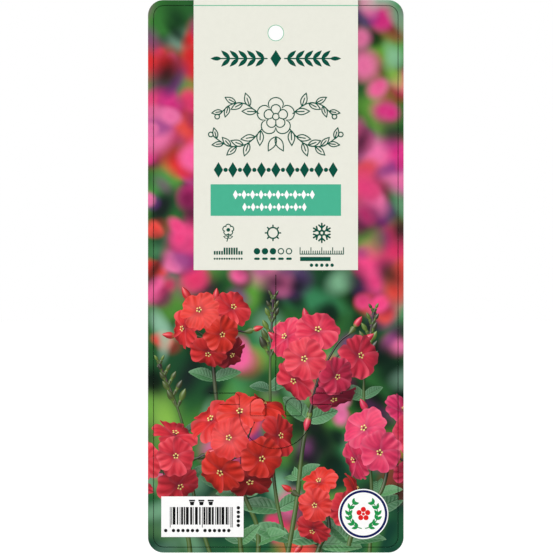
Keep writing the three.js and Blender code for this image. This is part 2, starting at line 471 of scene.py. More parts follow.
# A petal's inks at its foot, over its body and at its rim, each from coral red to hot pink.
PETAL_INKS = [
    (ink(150, 14, 22), ink(170, 20, 76)),
    (ink(226, 52, 40), ink(232, 56, 110)),
    (ink(248, 92, 92), ink(252, 128, 168)),
]


def squeezed(depth, middle, layer):
    """Depth within a bloom, squeezed about the bloom's middle into its own thin layer."""
    return layer + BLOOM_DEPTH * (depth - middle[1])


def petal(middle, facing, turn, size, hue, layer, draw):
    """One petal: an egg with a shallow notch in its broad end, whose surface rises from the throat, rolls
    back towards the tip and is ruffled. It is pressed by a plainer shape, higher at its left edge, so that
    each petal laps over the next one round."""
    out, aside = frame_of(facing, turn)
    length = size * draw.uniform(*PETAL_LENGTH)
    width = size * draw.uniform(*PETAL_WIDTH)
    theta = full_turn(PETAL_COLUMNS)[None]
    rho = (np.linspace(0.05, 1, PETAL_ROWS) ** 0.85)[:, None]
    lean = -np.cos(theta)
    notch = 1 - draw.uniform(*NOTCH_DEPTH) * np.exp(-(((theta - np.pi) / NOTCH_WIDTH) ** 2))
    wavy = sum((high * np.sin(count * theta + draw.uniform(*PHASES)) for count, high in RIM_WAVES), 1)
    rim_p = length * (0.5 + 0.5 * lean) * notch * wavy
    rim_q = width / 2 * np.sin(theta) * (0.62 + 0.38 * lean) / 0.7 * wavy
    p = PETAL_WAIST * length + rho * (rim_p - PETAL_WAIST * length)
    q = rho * rim_q
    s, t = p / length, q / (width / 2)
    angle = np.arctan2(q, p + VEIN_FAN * length)
    rise = length * (draw.uniform(*PETAL_RISE) * s - draw.uniform(*PETAL_ROLL) * s**2)
    rise = rise + length * (PETAL_TILT * t + PETAL_HOLLOW * t**2 - PETAL_FOLD * np.cos(3 * np.pi * t) * s**2)
    rise = rise + RUFFLE_HEIGHT * length * s**2 * np.sin(RUFFLES * angle + draw.uniform(*PHASES))
    points = middle + np.dstack([p, q, rise]) @ (out, aside, facing)
    plain = length * (PLAIN_RISE * s - PLAIN_ROLL * s**2 + PLAIN_TILT * t)
    depth = squeezed(middle[1] + p * out[1] + q * aside[1] + plain * facing[1], middle, layer)

    deep, body, rim = (blend(coral, pink, hue) for coral, pink in PETAL_INKS)
    veins = 0.5 + 0.5 * np.sin(VEINS * angle + 3 * np.sin(5 * s + draw.uniform(*PHASES)))
    veins = VEIN_SHADE * veins * smooth(0.1, 0.5, s) * (1 - 0.4 * smooth(0.8, 1, s))
    right = SIDE_SHADE * smooth(-0.1, 0.9, -t) * smooth(0, 1, 1.15 - s)
    colour = blend(blend(deep, body, smooth(0.02, 0.42, s)), rim, RIM_GLOW * smooth(0.5, 1.0, rho) ** 1.3)
    colour = colour * ((1 - veins) * (1 - right))[..., None]
    colour = sunlit(colour, slopes(points), shade(points), glint=PETAL_GLINT)
    return block(pressed(points, depth), colour)


def dot(middle, layer, facing, height, out, radius, colour):
    """A small bead, seen as a shaded dome half as tall as wide, whose height falls off as a ball's does.
    It stands at a height over a bloom's middle and at an offset from it."""
    aside, upward = frame_of(facing, 0)
    rho = np.sin(np.linspace(0.12, np.pi / 2, BEAD_ROWS))[:, None]
    theta = full_turn(BEAD_COLUMNS)[None]
    rise = 0.5 * np.sqrt(np.clip(1 - rho**2, 0, 1)) * np.ones_like(theta)
    bead = np.dstack([rho * np.cos(theta), rho * np.sin(theta), rise]) @ (aside, upward, facing)
    points = middle + height * facing + out + radius * bead
    depth = squeezed(points[..., 1], middle, layer)
    return block(pressed(points, depth), sunlit(colour, slopes(points), 1))


def bloom_parts(middle, facing, size, hue, layer, draw):
    """An open bloom: five petals that overlap the same way round, a dark throat, and a ring of anthers."""
    start = draw.uniform(0, 2 * np.pi)
    turns = start + full_turn(PETALS) + draw.normal(0, PETAL_SCATTER, PETALS)
    parts = [petal(middle, facing, turn, size, hue, layer, draw) for turn in turns]
    parts += [dot(middle, layer, facing, THROAT_HEIGHT, 0, size * THROAT_SIZE, THROAT)]
    for turn in start + full_turn(PETALS) + np.pi / PETALS:
        out, _ = frame_of(facing, turn)
        reach = out * size * ANTHER_REACH
        parts += [dot(middle, layer, facing, ANTHER_HEIGHT, reach, size * ANTHER_SIZE, POLLEN)]
    return parts


# The picture ends with the sheet: the planes at its sides and foot that every flower and stem is cut at.
trim_side, trim_foot = (SHEET_RIGHT - EDGE_SETBACK) * MM, (SHEET_BOTTOM + EDGE_SETBACK) * MM
trim = [((trim_side, 0, 0), (1, 0, 0)), ((-trim_side, 0, 0), (-1, 0, 0)), ((0, 0, trim_foot), (0, 0, -1))]

draw = np.random.default_rng(seed=21)
for number, (middle, facing, size, hue, _, layer) in enumerate(BLOOMS, 1):
    built(f"bloom_{number:02d}", bloom_parts(middle, facing, size, hue, layer, draw), picture_ink, cuts=trim)


# Each head stands on an upright stem with pairs of oval, quilted leaves at its joints. A thin stalk with a
# green and plum cup at its end carries every bloom and bud. Buds are still rolled shut.

STEM_GREEN, STEM_PLUM = ink(84, 112, 54), ink(66, 42, 58)
CUP_GREEN, CUP_PLUM = ink(118, 148, 66), ink(52, 30, 50)
LEAF_DARK, LEAF_FRESH, LEAF_VEIN = ink(32, 84, 52), ink(90, 150, 92), ink(158, 196, 160)

# A stem's line is given by where it bends, how far it sways and its number of points, and its foot by its
# depth and how far it lies below the sheet.
STEM_SIDES, STEM_POINTS, STEM_BENDS, STEM_SWAY = 9, 70, (0.33, 0.66), 2.2
STEM_RADIUS, STEM_TAPER, HUB_DROP, STEM_FOOT = 1.0, 0.32, 0.35, (-2.0, 4)
PLUM_COVER, PLUM_FROM, JOINT_SPACING, JOINT_DEPTH = 0.8, 0.45, 19.0, 0.6

# A flower stalk swells into a cup that starts and ends so far behind the flower.
STALK_POINTS, STALK_RADIUS, STALK_LIFT = 30, 0.4, 0.1
CUP_SETBACK, CUP_START, CUP_END, BLOOM_CUP, BUD_CUP = 1.8, 3.4, 0.4, 1.0, 0.8

# A bud's reach is a share of its head's radius, and its girth and length are shares of its own size.
BUD_ROWS, BUD_COLUMNS, BUD_SEAT = 18, 26, 0.5
BUD_FLATTENED, BUD_LIFTED = (1, 0.05, 1), (0, 0, 0.5)
BUD_REACH, BUD_SIZE, BUD_GIRTH, BUD_LENGTH = (1.1, 1.55), (2.8, 4.0), 0.38, 1.6

# A leaf shrinks from the foot of a stem up to the head. Every other pair is turned to the viewer.
LEAF_ROWS, LEAF_COLUMNS, LEAF_WAIST, LEAF_GLINT = 18, 64, 0.45, ink(206, 232, 214)
LEAF_LENGTH, LEAF_SHRINK, LEAF_SIZE, LEAF_WIDTH = 15.0, 4.5, (0.85, 1.15), (0.48, 0.6)
LEAF_SPREAD, LEAF_LEAN, LEAF_SCATTER, LEAF_FACE = (0.25, 0.7), (-0.1, 0.3), 0.25, (0, 0, 0.5)
TURNED_SPREAD, TURNED_LEAN, TURNED_SIZE = 0.55, 0.5, 0.8
LEAF_SCALLOPS, SCALLOP_DEPTH, VEIN_SPACING, MIDRIB_WIDTH = 24, 0.02, 0.12, 0.035
LEAF_FOLD, LEAF_ARCH, LEAF_LIFT = 0.3, 0.34, 0.12


def route(points, count):
    """A smooth line through a few points: each stretch is the cubic that leaves and meets its ends along
    the line between their neighbours."""
    knots = np.array([points[0], *points, points[-1]], float)
    along = np.linspace(0, len(points) - 1.000001, count)
    start = along.astype(int)
    t = (along - start)[:, None]
    before, here, after, beyond = (knots[start + i] for i in range(4))
    return 0.5 * (2 * here + (after - before) * t + (2 * before - 5 * here + 4 * after - beyond) * t**2
                  + (3 * here - before - 3 * after + beyond) * t**3)


def stalk(rail, radius, colour):
    """A closed half-round rod along a line, with its own radius and colour at each point: its near half is
    round, and its edges drop straight to the ground."""
    along = unit(np.gradient(rail, axis=0))
    aside = unit(np.cross(along, TO_VIEWER))
    angle = np.linspace(0, np.pi, STEM_SIDES)[None, :, None]
    normal = aside[:, None] * np.cos(angle) + TO_VIEWER * np.sin(angle)
    points = rail[:, None] + normal * radius[:, None, None]
    shown = sunlit(colour[:, None], normal, shade(points), gloss=0.2, sharp=20)
    flat = pressed(points)
    every = np.concatenate([dropped(flat[:, :1]), flat, dropped(flat[:, -1:])], axis=1)
    tint = np.concatenate([shown[:, :1], shown, shown[:, -1:]], axis=1)
    return *tube(every), tint.reshape(-1, 3)


def flower_stalk(hub, end, way, swell, draw):
    """The thin stalk from a head's hub to the back of a bloom or bud, swollen into its cup at the end, which
    lies back so that nothing of it stands through the flower."""
    reach = np.linalg.norm(end - hub)
    halfway = (hub + end) / 2 + (0, 0, STALK_LIFT * reach)
    knots = [hub, halfway, end - way * CUP_START, end - way * CUP_END]
    share = np.linspace(0, 1, STALK_POINTS)
    rail = route(knots, STALK_POINTS) + smooth(0.2, 0.7, share)[:, None] * (0, CUP_SETBACK, 0)
    radius = STALK_RADIUS + swell * (smooth(0.6, 0.86, share) - 0.35 * smooth(0.9, 1, share))
    cup = blend(CUP_PLUM, CUP_GREEN, draw.uniform(0.3, 1))
    mixed = blend(blend(STEM_GREEN, STEM_PLUM, smooth(0, 0.5, share)), cup, smooth(0.55, 0.75, share))
    return stalk(rail, radius, mixed * draw.uniform(0.85, 1.15))


def bud(middle, way, size, colour, draw):
    """A bud: a pointed egg turned to the light, its colour wound round it in dark spiral seams."""
    out, aside = frame_of(way, draw.uniform(*PHASES))
    share = np.linspace(0, 1, BUD_ROWS)[:, None]
    angle = full_turn(BUD_COLUMNS)[None]
    girth = size * BUD_GIRTH * np.sin(np.pi * share**0.8) ** 0.8 + 0.02
    ring = np.cos(angle)[..., None] * out + np.sin(angle)[..., None] * aside
    points = middle + girth[..., None] * ring + (BUD_LENGTH * size * share)[..., None] * way
    normal = unit(ring + (share - 0.5)[..., None] * way * 0.9)
    seams = 0.35 * smooth(0.75, 1, np.sin(3 * angle + 5 * share))
    body = blend(colour, CUP_GREEN, 1 - smooth(0.05, 0.35, share)) * (1 - seams)[..., None]
    shown = sunlit(body, normal, shade(points), gloss=0.25, sharp=18)
    return *tube(pressed(points)), shown.reshape(-1, 3)


def leaf(base, way, facing, length, width, draw):
    """A leaf blade: its outline is an egg drawn to a point with a scalloped edge, it is folded a little
    along the midrib, arches down to the tip, and swells between its side veins."""
    way = unit(way)
    aside = unit(np.cross(way, facing))
    up = np.cross(aside, way)
    up = up * (-1 if up[1] > 0 else 1)
    theta = full_turn(LEAF_COLUMNS)[None]
    rho = np.linspace(0.04, 1, LEAF_ROWS)[:, None]
    lean = -np.cos(theta)
    scallop = 1 + SCALLOP_DEPTH * np.cos(LEAF_SCALLOPS * theta)
    rim_p = length * (0.5 + 0.5 * lean)
    rim_q = width / 2 * np.sin(theta) * (1 - 0.42 * lean * smooth(-0.4, 1, lean)) * scallop
    p = LEAF_WAIST * length + rho * (rim_p - LEAF_WAIST * length)
    q = rho * rim_q
    s = p / length
    vein = 0.5 + 0.5 * np.cos(2 * np.pi * (p - 0.75 * np.abs(q)) / (VEIN_SPACING * length))
    ridge = np.exp(-((q / (MIDRIB_WIDTH * width)) ** 2))
    fine = smooth(0.6, 1, vein) * smooth(0.02, 0.1, np.abs(q) / width)
    rise = LEAF_FOLD * np.abs(q) - LEAF_ARCH * length * s**2 + LEAF_LIFT * length * s
    rise = rise - 0.03 * width * fine - 0.05 * width * ridge
    points = base + np.dstack([p, q, rise]) @ (way, aside, up)
    pale = 0.5 * ridge * (1 - 0.6 * s) + 0.1 * fine + 0.2 * smooth(0.8, 1, rho)
    colour = blend(blend(LEAF_DARK, LEAF_FRESH, draw.uniform(0.1, 1.0)), LEAF_VEIN, pale)
    shown = sunlit(colour, slopes(points), shade(points), gloss=0.14, sharp=8, glint=LEAF_GLINT)
    return block(pressed(points), shown)


def leaf_pair(rail, place, turned, length, draw):
    """Two leaves from one joint of a stem. They stand out from it sideways, or, when turned, one towards
    the viewer and one away, as the pairs of such a stem do in turn."""
    base = rail[place] + (0, JOINT_DEPTH, 0)
    along = unit(rail[place + 1] - rail[place])
    across = unit(np.cross(along, TO_VIEWER))
    pair = []
    for side in (-1, 1):
        spread = across * side * (TURNED_SPREAD if turned else 1.0) + along * draw.uniform(*LEAF_SPREAD)
        depth = TO_VIEWER * (TURNED_LEAN * side if turned else draw.uniform(*LEAF_LEAN))
        size = length * draw.uniform(*LEAF_SIZE) * (TURNED_SIZE if turned else 1.0)
        facing = unit(TO_VIEWER + draw.normal(0, LEAF_SCATTER, 3) + LEAF_FACE)
        pair.append(leaf(base, spread + depth, facing, size, size * draw.uniform(*LEAF_WIDTH), draw))
    return pair


def swaying(foot, tip, shares, sway, count, draw):
    """A stem's line from its foot to its tip, moved aside at random where it bends."""
    bends = [foot + (tip - foot) * share + (draw.normal(0, sway), 0, 0) for share in shares]
    return route([foot, *bends, tip], count)


draw = np.random.default_rng(seed=33)
for number, ((x, z), radius, _, count, size, hue, foot_x) in enumerate(HEADS, 1):
    hub = np.array([x, HEAD_DEPTH, z - HUB_DROP * radius])
    foot = np.array([foot_x, STEM_FOOT[0], SHEET_BOTTOM - STEM_FOOT[1]])
    rail = swaying(foot, hub, STEM_BENDS, STEM_SWAY, STEM_POINTS, draw)
    parts = []
    joints = int(np.linalg.norm(hub - foot) / JOINT_SPACING)
    for joint in range(joints):
        place = int(STEM_POINTS * (joint + 0.5) / (joints + 0.35))
        length = LEAF_LENGTH - LEAF_SHRINK * joint / joints
        parts += leaf_pair(rail, place, (joint + number) % 2 == 1, length, draw)
    share = np.linspace(0, 1, STEM_POINTS)
    mixed = blend(STEM_GREEN, STEM_PLUM, PLUM_COVER * smooth(PLUM_FROM, 1, share))
    parts += [stalk(rail, STEM_RADIUS - STEM_TAPER * share, mixed)]
    parts += [flower_stalk(hub, middle, facing, BLOOM_CUP, draw)
              for middle, facing, _, _, home, _ in BLOOMS if np.allclose(home[[0, 2]], (x, z))]
    for way in dome(count, draw.uniform(*PHASES), BUD_DOME, draw):
        way = unit(way * BUD_FLATTENED + BUD_LIFTED)
        end = hub + way * radius * draw.uniform(*BUD_REACH)
        parts += [flower_stalk(hub, end, way, BUD_CUP, draw)]
        shut = blend(*PETAL_INKS[1], hue)
        parts += [bud(end - way * BUD_SEAT, way, draw.uniform(*BUD_SIZE), shut, draw)]
    built(f"stem_{number}", parts, picture_ink, cuts=trim)


# Between the heads rise young shoots, still all bud: upright stems with small green and plum buds in pairs
# that shrink to the tip. They are part of the same colour print.

# Each shoot: where its foot and tip are across and up the sheet, and how many pairs of buds it bears.
SHOOTS = [
    ((6.0, -206.0), (-1.0, -103.0), 6),
    ((36.0, -206.0), (38.0, -108.0), 6),
    ((-24.0, -206.0), (-45.0, -128.0), 5),
]
SHOOT_POINTS, SHOOT_BENDS, SHOOT_SWAY, SHOOT_DEPTHS = 90, (0.3, 0.7), 2.5, (-1.0, -3.0)
SHOOT_RADIUS, SHOOT_TAPER = 0.85, 0.5
SHOOT_LEAF, SHOOT_LEAF_SHRINK, SHOOT_JOINTS = 14.0, 2.5, (22, 39, 56)
SHOOT_BUD, SHOOT_GROWTH, SHOOT_PITCH = 1.5, 0.42, 4.6
SHOOT_SPREAD, SHOOT_RISE, SHOOT_STALK, SHOOT_CUP = (0.5, 0.8), (-0.2, 1.0), 1.3, 0.3

draw = np.random.default_rng(seed=8)
for number, ((foot_x, foot_z), (tip_x, tip_z), pairs) in enumerate(SHOOTS, 1):
    foot, tip = np.array([foot_x, SHOOT_DEPTHS[0], foot_z]), np.array([tip_x, SHOOT_DEPTHS[1], tip_z])
    rail = swaying(foot, tip, SHOOT_BENDS, SHOOT_SWAY, SHOOT_POINTS, draw)
    parts = []
    for joint, place in enumerate(SHOOT_JOINTS):
        parts += leaf_pair(rail, place, joint % 2 == 1, SHOOT_LEAF - SHOOT_LEAF_SHRINK * joint, draw)
    share = np.linspace(0, 1, SHOOT_POINTS)
    mixed = blend(STEM_GREEN, STEM_PLUM, smooth(0.6, 1, share))
    parts += [stalk(rail, SHOOT_RADIUS - SHOOT_TAPER * share, mixed)]
    down = unit(rail[-2] - rail[-1])
    for pair in range(pairs):
        base = rail[np.argmin(np.abs(np.linalg.norm(rail - tip, axis=1) - SHOOT_PITCH * pair))]
        size = SHOOT_BUD + SHOOT_GROWTH * pair
        for side in (-1, 1):
            way = unit(np.array([side * draw.uniform(*SHOOT_SPREAD), *SHOOT_RISE]) - down * 0.2)
            shut = blend(CUP_PLUM, CUP_GREEN, draw.uniform(0.1, 1))
            end = base + way * size * SHOOT_STALK
            parts += [flower_stalk(base, end, way, SHOOT_CUP, draw)]
            parts += [bud(base + way * size, way, size, shut, draw)]
    built(f"shoot_{number}", parts, picture_ink, cuts=trim)


# A cream card is printed over the upper part of the picture, right up to the top edge. The hang hole is
# punched through it, and a fine pale green ring is drawn close round the punched edge.

CARD_FACE, CARD_POINTS, OFF_LEVEL = 0.14, 96, 0.01
HOLE_RADIUS, HOLE_SETBACK, HOLE_RING_WIDTH = 2.9, 0.02, 0.25
PRINT_THICKNESS, PRINT_STEP, LAY = 0.05, 0.012, 0.0005
OVER_CARD = CARD_FACE + PRINT_STEP

cream_ink = plastic("cream_print", ink(234, 234, 222), mottle=0.02)


def hoop(points):
    """A closed part's points and faces from a grid whose rows and columns both run round."""
    rows, columns = points.shape[:2]
    faces = quads(rows + 1, columns, around=True) % (rows * columns)
    return points.reshape(-1, 3), faces.tolist()


def card_hoop():
    """The card as rings of four points round the hole's middle: two on the hole's edge, and two where the
    ray through them meets the card's border. No ray lies quite level."""
    foot, head = SHEET_TOP - CARD_DEPTH, SHEET_TOP - EDGE_SETBACK
    corners = np.arctan2([foot, foot, head, head], [-CARD_HALF, CARD_HALF] * 2)
    theta = np.sort(np.concatenate([full_turn(CARD_POINTS) - np.pi + OFF_LEVEL, corners]))
    across, upward = np.cos(theta), np.sin(theta)
    border = np.minimum(CARD_HALF / np.abs(across), np.where(upward > 0, head, foot) / upward)
    edge = np.full_like(border, HOLE_RADIUS + HOLE_SETBACK)
    reach = np.column_stack([edge, border, border, edge])
    height = np.broadcast_to(PRINT_FACE - np.array([1, 1, 0, 0]) * CARD_FACE, reach.shape)
    return hoop(np.dstack([reach * across[:, None], height, reach * upward[:, None]]))


built("card", [(*card_hoop(), None)], cream_ink)


CAP_ANGLES, SHARPEST_BEND = (15, 40, 65), 0.6


def strip(path, width, closed=False):
    """A printed line along a path that is given across and down from the top edge: a flat strip, set off to
    both sides by half its width, more at a bend by the cosine of its half angle. Open ends are round."""
    path = np.asarray(path, float)
    half = np.full(len(path), width / 2)
    if not closed:
        cap = np.radians(CAP_ANGLES)
        first, last = unit(path[0] - path[1]), unit(path[-1] - path[-2])
        head = path[0] + first * (width / 2 * np.cos(cap))[:, None]
        tail = path[-1] + last * (width / 2 * np.cos(cap))[::-1, None]
        path = np.concatenate([head, path, tail])
        half = np.concatenate([width / 2 * np.sin(cap), half, width / 2 * np.sin(cap)[::-1]])
    before = unit(path - np.roll(path, 1, axis=0))
    after = unit(np.roll(path, -1, axis=0) - path)
    if not closed:
        before[0], after[-1] = after[0], before[-1]
    along = unit(before + after)
    miter = 1 / np.clip((along * after).sum(axis=1), SHARPEST_BEND, 1)
    offset = np.column_stack([-along[:, 1], along[:, 0]]) * (half * miter)[:, None]
    sides = np.stack([path + offset, path - offset, path - offset, path + offset], axis=1)
    height = np.broadcast_to(PRINT_FACE + np.array([0, 0, 1, 1]) * PRINT_THICKNESS, sides.shape[:2])
    points = np.dstack([sides[..., 0], height, SHEET_TOP - sides[..., 1]])
    return hoop(points) if closed else tube(points)


def circle(middle, radius, count):
    """Points on a circle, in steps of equal angle."""
    turn = full_turn(count)
    return np.array(middle) + radius * np.column_stack([np.cos(turn), np.sin(turn)])


def ring(middle, radius, width, count):
    """A printed circle that is a line of the given width."""
    return strip(circle(middle, radius, count), width, closed=True)


def printed(name, parts, material, slot=None, height=OVER_CARD):
    """A piece of flat prints at a height over the sheet's face. Each lies a hair over the one before it, so
    that no two faces share a plane."""
    raised = [(points - (0, height + LAY * number, 0), faces, None)
              for number, (points, faces) in enumerate(parts)]
    built(name, raised, material, slot)


pale_green_ink = plastic("pale_green_print", ink(118, 194, 156))
parts = [ring((0, SHEET_TOP), HOLE_RADIUS + HOLE_SETBACK + HOLE_RING_WIDTH / 2, HOLE_RING_WIDTH, 64)]
printed("hole_ring", parts, pale_green_ink, "teal_print")


# At the head of the card is a bold ornament in dark green ink: a lozenge between two laurel sprigs, each
# with its solid leaves in pairs.

LAUREL_DEPTH, LAUREL_ENDS, LAUREL_PEN = 22.7, (3.4, 22.0), 0.5
LAUREL_PAIRS, LAUREL_SPREAD, LAUREL_LEAF = (4.4, 21.0, 5), 42, (4.7, 1.65)
LAUREL_TIP, TIP_LEAF, HEAD_LOZENGE = (21.0, 22.7), (4.3, 1.6), (4.2, 6.6)

dark_green_ink = plastic("dark_green_print", ink(2, 79, 62), mottle=0.04)


def plate(outline):
    """A flat print filled inside an outline that is given across and down from the top edge: the outline
    as a ring in front and again behind."""
    x, depth = np.asarray(outline, float).T
    front = np.column_stack([x, np.full_like(x, PRINT_FACE), SHEET_TOP - depth])
    return tube(np.stack([front, front + (0, PRINT_THICKNESS, 0)]))


def almond(base, turn, length, width, count=12):
    """A leaf's outline: it widens from its base as the sine of the way along and closes at its tip. Turn is
    in degrees, from straight across to the right, upwards."""
    share = np.linspace(0, 1, count)
    half = width / 2 * np.sin(np.pi * share**0.85)
    along = np.array([np.cos(np.radians(turn)), -np.sin(np.radians(turn))])
    aside = np.array([along[1], -along[0]])
    middle = np.array(base) + length * share[:, None] * along
    return np.concatenate([middle + half[:, None] * aside, (middle - half[:, None] * aside)[-2:0:-1]])


def lozenge(middle, width, height):
    """A printed lozenge."""
    corners = np.array([(width / 2, 0), (0, height / 2), (-width / 2, 0), (0, -height / 2)])
    return plate(middle + corners)


parts = [lozenge((0, LAUREL_DEPTH), *HEAD_LOZENGE)]
for side in (-1, 1):
    parts += [strip([(side * x, LAUREL_DEPTH) for x in LAUREL_ENDS], LAUREL_PEN)]
    parts += [plate(almond(LAUREL_TIP, 0, *TIP_LEAF) * (side, 1))]
    for x in np.linspace(*LAUREL_PAIRS, endpoint=False):
        for turn in (LAUREL_SPREAD, -LAUREL_SPREAD):
            parts += [plate(almond((x, LAUREL_DEPTH), turn, *LAUREL_LEAF) * (side, 1))]
printed("head_ornament", parts, dark_green_ink)


# Below it a garland is drawn with a fine pen line and printed in the same green ink: an open flower between
# leafy sprigs, on a row of solid lozenges and dots.

PEN = 0.42
FLOWER, FLOWER_RADII, FLOWER_NOTCH = (0.0, 45.2), (7.4, 4.662), 0.56
FLOWER_EYE, FLOWER_RAYS = 1.25, (1.5, 3.3)
UPPER_SPRIG = ([(6.6, 44.0), (12.0, 40.2), (17.5, 40.6), (22.0, 44.6)], 6, 5.6)
LOWER_SPRIG = ([(5.4, 50.0), (11.0, 55.6), (18.0, 56.6), (24.4, 52.6)], 8, 5.8)
BERRIES, BERRY_RADIUS = [(22.7, 45.2), (25.15, 52.1)], 0.9
SPRIG_POINTS, SPRIG_SPREAD, SPRIG_SHRINK, LEAF_SLENDER, MIDRIB_SHARE = 40, 38, 0.3, 0.44, 0.62
HANGING_LEAVES, HANGING_LEAF = (0.0, 53.0), (6.2, 2.7)
ROW_DEPTH, ROW_PITCH, ROW_SIDE = 65.8, 5.55, 4
ROW_LOZENGE, ROW_DOT = (3.6, 6.0), 0.82


def heading(turn):
    """The direction, across and down, at a turn clockwise from straight up."""
    return np.stack([np.sin(turn), -np.cos(turn)], axis=-1)


def rosette(middle, radius, notch, count=90):
    """A five-lobed outline: its radius falls from each lobe's tip to the notch by the root of the cosine of
    two and a half times the turn."""
    turn = full_turn(count)
    reach = radius * (notch + (1 - notch) * np.sqrt(np.abs(np.cos(2.5 * turn))))
    return np.array(middle) + reach[:, None] * heading(turn)


def spoke(middle, turn, start, end):
    """The two ends of a straight line that points away from a middle, at a turn in degrees."""
    return np.array(middle) + np.outer([start, end], heading(np.radians(turn)))


def sprig(points, leaves, length, side):
    """A drawn sprig on one side: a curved stem, and leaves at even steps along it, above and below in turn,
    each an outline with a midrib."""
    stem = route([(x, 0, depth) for x, depth in points], SPRIG_POINTS)[:, [0, 2]]
    drawn = [strip(stem * (side, 1), PEN)]
    for number in range(leaves):
        place = int((SPRIG_POINTS - 1) * (number + 0.6) / (leaves + 0.4))
        way = stem[place + 1] - stem[place - 1]
        turn = np.degrees(np.arctan2(-way[1], way[0])) + (SPRIG_SPREAD if number % 2 else -SPRIG_SPREAD)
        size = length * (1 - SPRIG_SHRINK * number / leaves)
        outline = almond(stem[place], turn, size, size * LEAF_SLENDER, 14)
        midrib = stem[place] + np.outer([0, MIDRIB_SHARE], outline[13] - stem[place])
        drawn += [strip(outline * (side, 1), PEN, closed=True), strip(midrib * (side, 1), PEN)]
    return drawn


def disc(middle, radius, count):
    """A printed round spot."""
    return plate(circle(middle, radius, count))


parts = [strip(spoke(FLOWER, turn, *FLOWER_RAYS), PEN) for turn in range(36, 360, 72)]
parts += [strip(rosette(FLOWER, radius, FLOWER_NOTCH), PEN, closed=True) for radius in FLOWER_RADII]
parts += [ring(FLOWER, FLOWER_EYE, PEN, 24)]
parts += [strip(almond(HANGING_LEAVES, turn, *HANGING_LEAF, 14), PEN, closed=True) for turn in (-62, -118)]
for side in (-1, 1):
    parts += sprig(*UPPER_SPRIG, side) + sprig(*LOWER_SPRIG, side)
    parts += [ring((side * x, depth), BERRY_RADIUS, PEN, 18) for x, depth in BERRIES]
printed("garland", parts, dark_green_ink)

places = ROW_PITCH * np.arange(-ROW_SIDE, ROW_SIDE + 1)
parts = [lozenge((x, ROW_DEPTH), *ROW_LOZENGE) for x in places]
parts += [disc((x + ROW_PITCH / 2, ROW_DEPTH), ROW_DOT, 20) for x in places[:-1]]
printed("lozenge_row", parts, dark_green_ink)


# A solid teal band crosses the card under the garland. It is one flat ink, and the two rows of lozenges and
# beads that stand in it are left white.

BAND_HALF, BAND_TOP, BAND_FOOT = 25.25, 71.37, 83.6
OVER_BAND = OVER_CARD + PRINT_STEP
BAND_PITCH, BAND_BEAD, BAND_SLENDER = 3.3, 0.56, 0.55

# Each row: how deep it lies, how far it reaches to each side, and how tall its lozenges are.
BAND_ROWS = [(75.4, 16.5, 3.6), (80.2, 12.9, 3.3)]

teal_ink = plastic("teal_print", ink(74, 180, 146))
white_ink = plastic("white_print", ink(254, 254, 253), mottle=0.01)


def bar(left, right, top, foot):
    """A printed upright rectangle."""
    return plate([(left, top), (right, top), (right, foot), (left, foot)])


printed("band", [bar(-BAND_HALF, BAND_HALF, BAND_TOP, BAND_FOOT)], teal_ink)
parts = []
for depth, reach, height in BAND_ROWS:
    places = np.arange(-reach + height / 4, reach, BAND_PITCH)
    parts += [lozenge((x, depth), BAND_SLENDER * height, height) for x in places]
    parts += [disc((x + BAND_PITCH / 2, depth), BAND_BEAD, 16) for x in places[:-1]]
printed("band_beads", parts, white_ink, height=OVER_BAND)


# Three small pictograms in the same green ink say what the plant needs: a flower for its season, a sun for
# its place and a snow crystal for the cold it stands. Under each is a scale in fine marks.

BLOSSOM, BLOSSOM_RADIUS, BLOSSOM_NOTCH, BLOSSOM_EYE, BLOSSOM_PEN = (-18.4, 89.0), 2.15, 0.72, 0.72, 0.4
BLOSSOM_STEM = [(-18.4, 91.1), (-18.5, 92.2), (-18.9, 93.4)]
BLOSSOM_LEAVES, BLOSSOM_LEAF, BLOSSOM_LEAF_PEN = (-18.45, 92.0), (1.75, 0.95), 0.3
SUN, SUN_RADIUS, SUN_REACH = (-1.1, 90.2), 2.08, 2.95
CRYSTAL, CRYSTAL_HUB, CRYSTAL_REACH = (17.8, 90.2), 0.95, 3.65
CRYSTAL_FORK, CRYSTAL_BARB, BARB_LEAN = 2.0, 1.5, 48
SUN_PEN, CRYSTAL_PEN = 0.56, 0.64

parts = [strip(rosette(BLOSSOM, BLOSSOM_RADIUS, BLOSSOM_NOTCH, 50), BLOSSOM_PEN, closed=True)]
parts += [disc(BLOSSOM, BLOSSOM_EYE, 20), strip(BLOSSOM_STEM, BLOSSOM_PEN)]
for turn in (14, 166):
    outline = almond(BLOSSOM_LEAVES, turn, *BLOSSOM_LEAF, 8)
    parts += [strip(outline, BLOSSOM_LEAF_PEN, closed=True)]
printed("pictogram_blossom", parts, dark_green_ink)

parts = [ring(SUN, SUN_RADIUS, SUN_PEN, 40)]
parts += [strip(spoke(SUN, turn, SUN_RADIUS, SUN_REACH), SUN_PEN) for turn in range(0, 360, 45)]
printed("pictogram_sun", parts, dark_green_ink)

parts = [ring(CRYSTAL, CRYSTAL_HUB, CRYSTAL_PEN, 6)]
for turn in range(0, 360, 60):
    parts += [strip(spoke(CRYSTAL, turn, CRYSTAL_HUB, CRYSTAL_REACH), CRYSTAL_PEN)]
    fork = spoke(CRYSTAL, turn, 0, CRYSTAL_FORK)[1]
    for lean in (BARB_LEAN, -BARB_LEAN):
        parts += [strip(spoke(fork, turn + lean, 0, CRYSTAL_BARB), CRYSTAL_PEN)]
printed("pictogram_crystal", parts, dark_green_ink)

